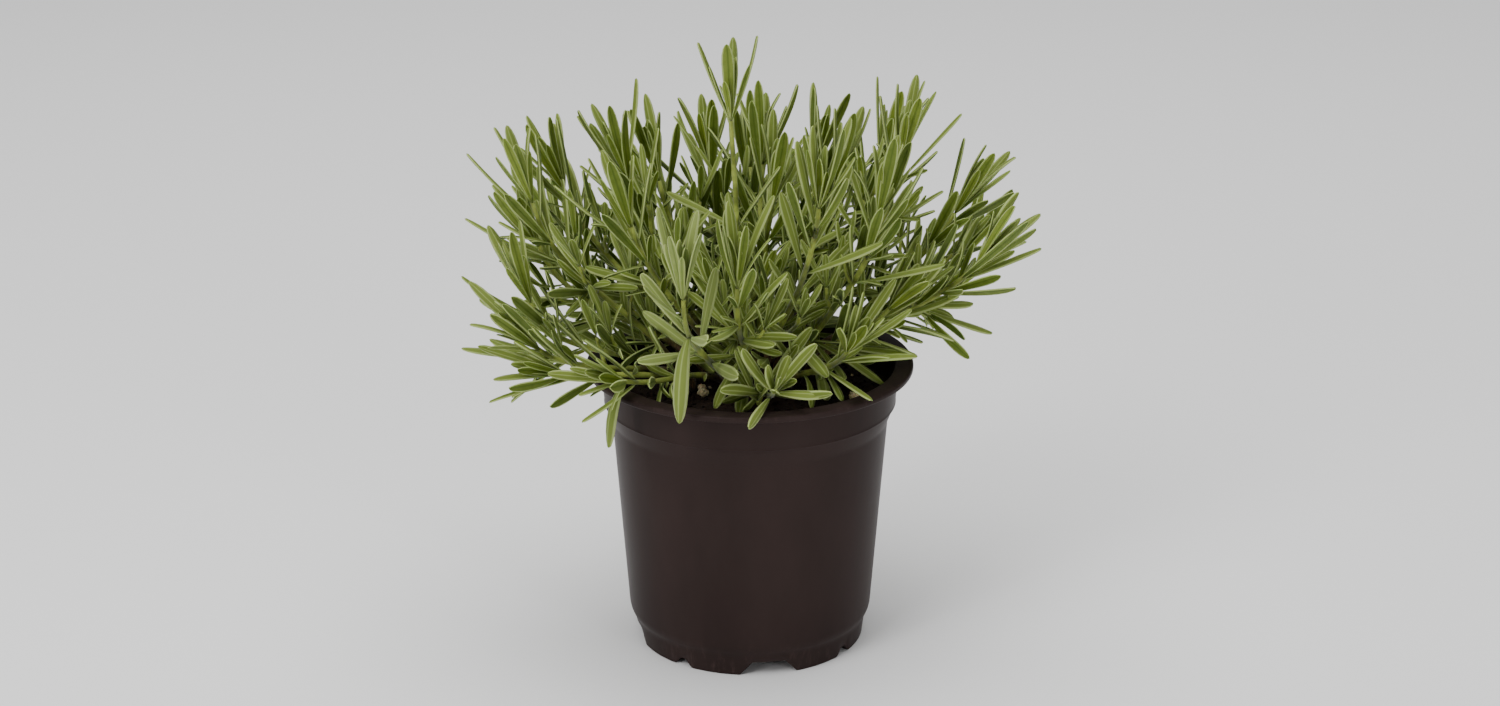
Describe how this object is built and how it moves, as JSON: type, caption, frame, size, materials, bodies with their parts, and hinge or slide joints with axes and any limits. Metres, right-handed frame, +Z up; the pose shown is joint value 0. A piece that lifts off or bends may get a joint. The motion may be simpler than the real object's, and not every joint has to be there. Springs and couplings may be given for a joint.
{
  "type": "potted lavender",
  "caption": "Young bushy lavender in a round black nursery pot with a turned-out lip, a stepped collar and a notched foot ring",
  "frame": {"origin": "on the pot's axis in the plane the pot stands on, which is within 1 mm of the middle of the whole plant's bounding box from above", "axes": "+Z up along the pot's axis and the plant's height, -Y towards the front of the plant, +X to the right seen from the front"},
  "size_m": [0.2099, 0.1687, 0.2316],
  "materials": {
    "pot_plastic": "satin black-brown moulded plastic",
    "potting_mix": "dark moist peat and bark crumbs",
    "perlite": "porous cream mineral grain",
    "bark": "rough brown bark",
    "leaf": "fine downy grey-green leaf",
    "young_leaf": "paler downy young leaf",
    "stem": "yellow-green young stem"
  },
  "bodies": {
    "root": {"nursery_pot": "pot_plastic", "potting_mix": "potting_mix", "perlite_1": "perlite", "perlite_2": "perlite", "perlite_3": "perlite", "perlite_4": "perlite", "bark_chip_1": "bark", "bark_chip_2": "bark", "crown_01": "young_leaf", "crown_02": "young_leaf", "crown_03": "young_leaf", "crown_04": "young_leaf", "crown_05": "young_leaf", "crown_06": "young_leaf", "crown_07": "young_leaf", "crown_08": "young_leaf", "crown_09": "young_leaf", "crown_10": "young_leaf", "crown_11": "young_leaf", "crown_12": "young_leaf", "crown_13": "young_leaf", "crown_14": "young_leaf", "crown_15": "young_leaf", "crown_16": "young_leaf", "crown_17": "young_leaf", "crown_18": "young_leaf", "crown_19": "young_leaf", "sprig_01": "leaf", "sprig_02": "leaf", "sprig_03": "leaf", "sprig_04": "leaf", "sprig_05": "leaf", "sprig_06": "leaf", "sprig_07": "leaf", "sprig_08": "leaf", "sprig_09": "leaf", "sprig_10": "leaf", "sprig_11": "leaf", "sprig_12": "leaf", "sprig_13": "leaf", "sprig_14": "leaf", "sprig_15": "leaf", "sprig_16": "leaf", "sprig_17": "leaf", "sprig_18": "leaf", "sprig_19": "leaf", "sprig_20": "leaf", "sprig_21": "leaf", "sprig_22": "leaf", "sprig_23": "leaf", "sprig_24": "leaf", "sprig_25": "leaf", "sprig_26": "leaf", "sprig_27": "leaf", "sprig_28": "leaf", "sprig_29": "leaf", "sprig_30": "leaf", "sprig_31": "leaf", "sprig_32": "leaf", "sprig_33": "leaf"}
  },
  "joints": []
}
